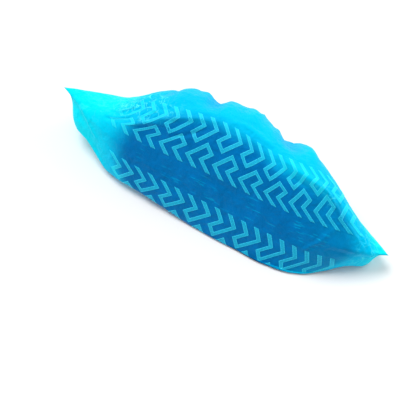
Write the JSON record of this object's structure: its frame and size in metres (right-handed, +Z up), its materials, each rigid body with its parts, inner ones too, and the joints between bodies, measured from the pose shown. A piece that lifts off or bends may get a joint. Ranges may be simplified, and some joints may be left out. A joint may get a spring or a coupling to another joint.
{
  "type": "disposable shoe cover",
  "caption": "Thin nonwoven shoe cover with an elastic-gathered mouth and a printed chevron non-slip sole, lying empty on its side wall.",
  "frame": {"origin": "on the surface it rests on, under the middle of its bounding box", "axes": "+X from the heel to the toe, +Y from the leaning sole back to the mouth, +Z up"},
  "size_m": [0.412, 0.1354, 0.096],
  "materials": {
    "nonwoven_cloth": "soft satin nonwoven, thermally spot-bonded",
    "elastic_hem": "the same cloth, tightly puckered over elastic",
    "tread_print": "thin raised soft print, satin"
  },
  "bodies": {
    "root": {"cloth_shell": "nonwoven_cloth", "elastic_hem": "elastic_hem", "tread_outer_01": "tread_print", "tread_outer_02": "tread_print", "tread_outer_03": "tread_print", "tread_outer_04": "tread_print", "tread_outer_05": "tread_print", "tread_outer_06": "tread_print", "tread_outer_07": "tread_print", "tread_outer_08": "tread_print", "tread_outer_09": "tread_print", "tread_outer_10": "tread_print", "tread_inner_01": "tread_print", "tread_inner_02": "tread_print", "tread_inner_03": "tread_print", "tread_inner_04": "tread_print", "tread_inner_05": "tread_print", "tread_inner_06": "tread_print", "tread_inner_07": "tread_print", "tread_inner_08": "tread_print", "tread_inner_09": "tread_print", "tread_lower_01": "tread_print", "tread_lower_02": "tread_print", "tread_lower_03": "tread_print", "tread_lower_04": "tread_print", "tread_lower_05": "tread_print", "tread_lower_06": "tread_print", "tread_lower_07": "tread_print", "tread_lower_08": "tread_print", "tread_lower_09": "tread_print"}
  },
  "joints": []
}
